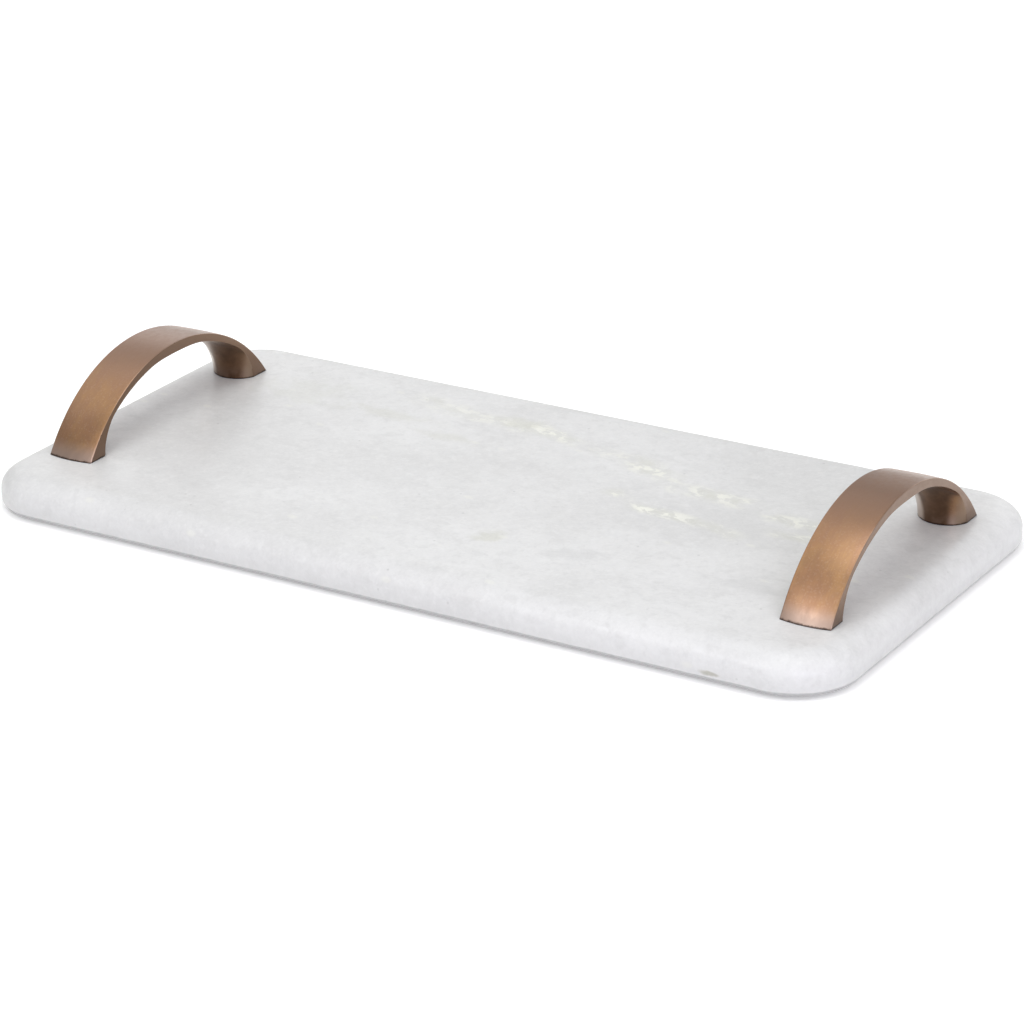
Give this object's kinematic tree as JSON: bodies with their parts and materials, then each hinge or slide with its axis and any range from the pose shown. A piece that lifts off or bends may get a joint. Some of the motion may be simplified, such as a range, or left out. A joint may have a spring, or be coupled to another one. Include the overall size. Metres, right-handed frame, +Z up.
{
  "type": "dresser vanity tray",
  "caption": "Rounded rectangular marble vanity tray with a soft shouldered edge and an arched metal band handle screwed across each short end.",
  "frame": {"origin": "middle of the slab on the resting plane, at the underside of the foot pads", "axes": "+X along the slab's long side towards the right handle, +Y across the slab away from the front edge, +Z up"},
  "size_m": [0.457, 0.22, 0.0582],
  "materials": {
    "marble": "honed white marble with faint grey clouding and cream veins",
    "bronze": "satin antique copper bronze with brightened edges",
    "zinc_steel": "bright zinc-plated steel",
    "soft_washer": "translucent grey soft washer",
    "pad_rubber": "matt black rubber"
  },
  "bodies": {
    "root": {"marble_slab": "marble", "left_handle": "bronze", "right_handle": "bronze", "handle_screws": "zinc_steel", "spring_washers": "zinc_steel", "flat_washers": "zinc_steel", "cushion_washers": "soft_washer", "foot_pad_front_left": "pad_rubber", "foot_pad_front_right": "pad_rubber", "foot_pad_back_left": "pad_rubber", "foot_pad_back_right": "pad_rubber"}
  },
  "joints": []
}
